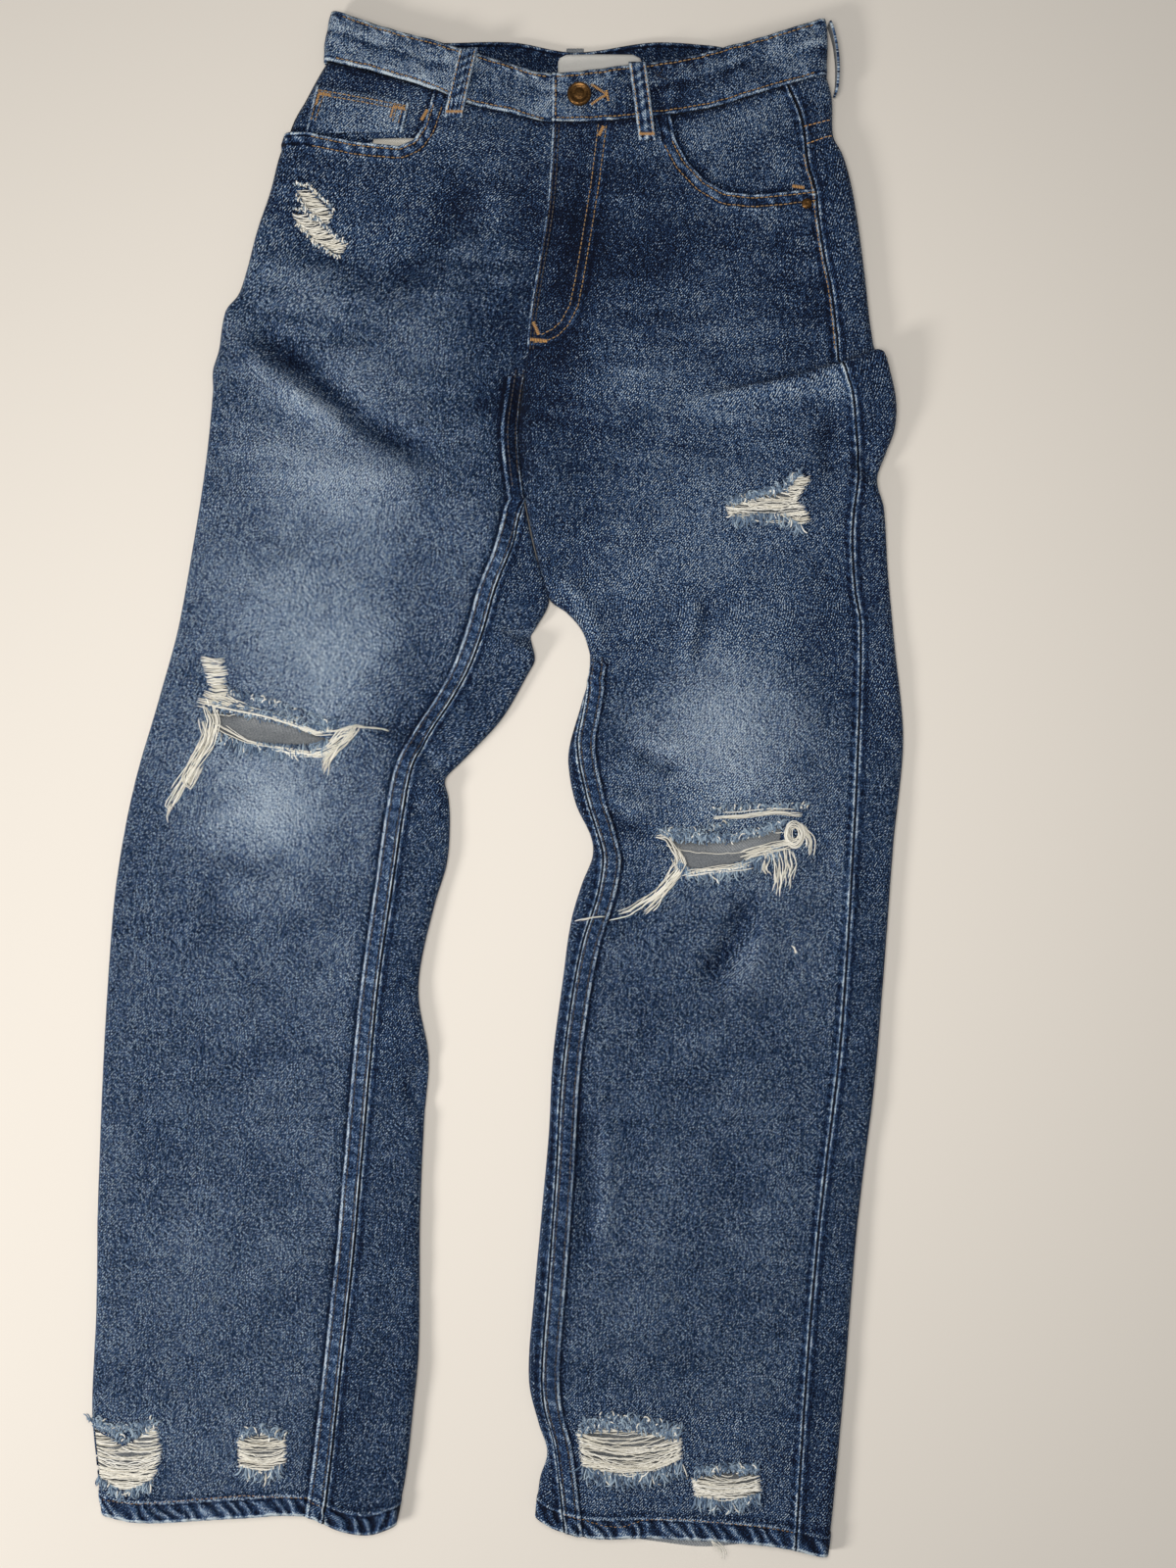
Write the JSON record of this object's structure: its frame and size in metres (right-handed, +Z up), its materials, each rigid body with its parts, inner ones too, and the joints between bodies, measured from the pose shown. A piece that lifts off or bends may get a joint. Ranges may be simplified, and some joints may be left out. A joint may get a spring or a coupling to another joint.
{
  "type": "ripped jeans",
  "caption": "Straight-leg blue denim jeans lying flat on their back, with worn-through knees and frayed tears at hip, thigh and hems.",
  "frame": {"origin": "below the middle of the laid-out garment, on the surface it lies on", "axes": "+Y from the hems to the waist, +X towards the wearer's left, +Z up from the surface, out of the fronts"},
  "size_m": [0.571, 1.085, 0.0208],
  "materials": {
    "denim": "washed twill, faded at thighs and knees",
    "denim_inside": "unfaded wrong side of the twill",
    "frayed_weft": "loose undyed cotton threads",
    "frayed_warp": "loose indigo cotton threads",
    "topstitch_thread": "tan polyester topstitching",
    "pocket_cotton": "plain white cotton",
    "label_tape": "blank white woven label",
    "antique_brass": "aged, dark in the recesses"
  },
  "bodies": {
    "root": {"right_front": "denim", "left_front": "denim", "right_back": "denim", "left_back": "denim", "right_yoke": "denim", "left_yoke": "denim", "right_pocket_facing": "denim", "left_pocket_facing": "denim", "coin_pocket": "denim", "right_pocket_bag": "pocket_cotton", "waistband": "denim", "waist_button": "antique_brass", "waist_label": "label_tape", "belt_loop_front_right": "denim", "belt_loop_front_left": "denim", "belt_loop_side_left": "denim", "belt_loop_side_right": "denim", "belt_loop_back": "denim", "back_pocket_right": "denim", "back_pocket_left": "denim", "pocket_rivet": "antique_brass"}
  },
  "joints": []
}
